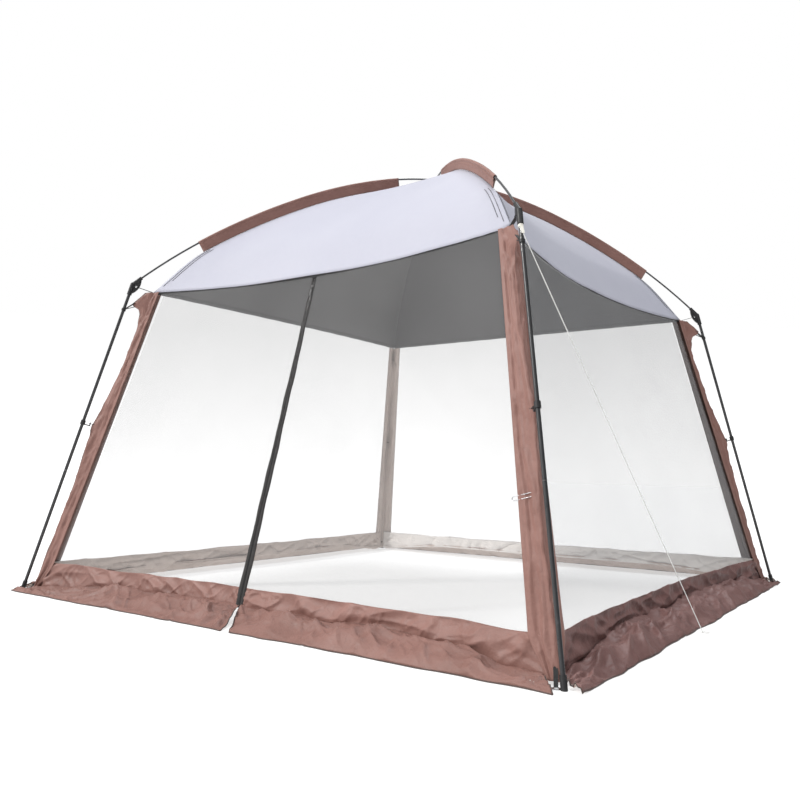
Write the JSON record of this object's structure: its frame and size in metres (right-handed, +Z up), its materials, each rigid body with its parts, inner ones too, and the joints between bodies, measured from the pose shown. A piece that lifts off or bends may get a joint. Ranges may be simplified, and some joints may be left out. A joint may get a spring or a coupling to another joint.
{
  "type": "screen house",
  "caption": "Square pole-framed screen house: crossed arches on leaning legs, domed roof cloth, netting walls, brown corner columns, ground skirts and a zipped centre door.",
  "frame": {"origin": "on the ground, under the point where the two arches cross, at the middle of the four legs' feet", "axes": "+Z up; the door wall faces -Y, +X is to the right of a person facing the door from outside"},
  "size_m": [3.1789, 3.124, 2.3443],
  "materials": {
    "leg_steel": "satin black powder coat on steel tube",
    "bare_steel": "plain zinc-plated steel",
    "black_plastic": "moulded black nylon",
    "pole_fibreglass": "grey-black fibreglass rod",
    "roof_cloth": "coated polyester, pale outside and grey coating inside",
    "black_webbing": "black woven tape",
    "brown_cloth": "crumpled brown coated polyester",
    "white_net": "fine white no-see-um netting, half transparent",
    "zip_tape": "black woven zip tape with nylon coil",
    "zip_metal": "black painted die-cast slider",
    "ring_metal": "nickel-plated steel wire and plate",
    "cream_webbing": "cream woven webbing",
    "white_cord": "white braided polyester cord"
  },
  "bodies": {
    "frame_and_cloth": {"leg_lower_front_left": "leg_steel", "leg_lower_front_right": "leg_steel", "leg_lower_back_right": "leg_steel", "leg_lower_back_left": "leg_steel", "leg_upper_front_left": "leg_steel", "leg_upper_front_right": "leg_steel", "leg_upper_back_right": "leg_steel", "leg_upper_back_left": "leg_steel", "leg_spigots": "bare_steel", "foot_caps": "black_plastic", "corner_elbow_front_left": "black_plastic", "corner_elbow_front_right": "black_plastic", "corner_elbow_back_right": "black_plastic", "corner_elbow_back_left": "black_plastic", "arch_pole_a": "pole_fibreglass", "arch_pole_b": "pole_fibreglass", "arch_ferrules": "bare_steel", "roof_canopy": "roof_cloth", "eave_binding": "black_webbing", "pole_sleeve_front_left": "brown_cloth", "pole_sleeve_front_right": "brown_cloth", "pole_sleeve_back_right": "brown_cloth", "pole_sleeve_back_left": "brown_cloth", "corner_column_front_left": "brown_cloth", "corner_column_front_right": "brown_cloth", "corner_column_back_right": "brown_cloth", "corner_column_back_left": "brown_cloth", "mesh_wall_right": "white_net", "mesh_wall_back": "white_net", "mesh_wall_left": "white_net", "mesh_door_left": "white_net", "mesh_door_right": "white_net", "wall_band_right": "brown_cloth", "wall_band_back": "brown_cloth", "wall_band_left": "brown_cloth", "wall_band_front_left": "brown_cloth", "wall_band_front_right": "brown_cloth", "ground_skirt_right": "brown_cloth", "ground_skirt_back": "brown_cloth", "ground_skirt_left": "brown_cloth", "ground_skirt_front_left": "brown_cloth", "ground_skirt_front_right": "brown_cloth", "roof_corner_hooks": "black_plastic", "column_ear_clips": "black_plastic", "column_loops": "black_webbing", "foot_rings": "ring_metal", "foot_ring_tabs": "black_webbing", "guy_strap": "cream_webbing", "guy_line": "white_cord", "guy_end_loop": "white_cord", "tieback_clip": "ring_metal"},
    "door_edge_left": {"zip_tape_left": "zip_tape"},
    "door_edge_right": {"zip_tape_right": "zip_tape"},
    "zip_slider": {"zip_slider": "zip_metal"},
    "zip_pull": {"zip_pull": "zip_metal"},
    "clip_front_left": {"mid_clip_front_left": "black_plastic"},
    "clip_front_right": {"mid_clip_front_right": "black_plastic"},
    "clip_back_right": {"mid_clip_back_right": "black_plastic"},
    "clip_back_left": {"mid_clip_back_left": "black_plastic"}
  },
  "joints": [
    {"name": "door_left_draw", "type": "hinge", "parent": "frame_and_cloth", "child": "door_edge_left", "pos_m": [-0.02, -0.98005, 1.54201], "axis": [0, 0.9648, -0.2629], "range_deg": [0, 38], "deforming": ["mesh_door_left", "wall_band_front_left", "ground_skirt_front_left"]},
    {"name": "door_right_draw", "type": "hinge", "parent": "frame_and_cloth", "child": "door_edge_right", "pos_m": [-0.02, -0.98005, 1.54201], "axis": [0, -0.9648, 0.2629], "range_deg": [0, 38], "deforming": ["mesh_door_right", "wall_band_front_right", "ground_skirt_front_right"]},
    {"name": "zip_run", "type": "slide", "parent": "door_edge_left", "child": "zip_slider", "axis": [0, -0.2629, -0.9648], "range_m": [0, 1.42]},
    {"name": "zip_pull_swing", "type": "hinge", "parent": "zip_slider", "child": "zip_pull", "pos_m": [-0.02, -1.00052, 1.49732], "axis": [-1, 0, 0], "range_deg": [0, 175]},
    {"name": "clip_slide_front_left", "type": "slide", "parent": "frame_and_cloth", "child": "clip_front_left", "axis": [-0.1947, -0.1947, -0.9614], "range_m": [0, 0.18]},
    {"name": "clip_slide_front_right", "type": "slide", "parent": "frame_and_cloth", "child": "clip_front_right", "axis": [0.1959, -0.1959, -0.9608], "range_m": [0, 0.18]},
    {"name": "clip_slide_back_right", "type": "slide", "parent": "frame_and_cloth", "child": "clip_back_right", "axis": [0.1947, 0.1947, -0.9614], "range_m": [0, 0.18]},
    {"name": "clip_slide_back_left", "type": "slide", "parent": "frame_and_cloth", "child": "clip_back_left", "axis": [-0.1959, 0.1959, -0.9608], "range_m": [0, 0.18]}
  ]
}
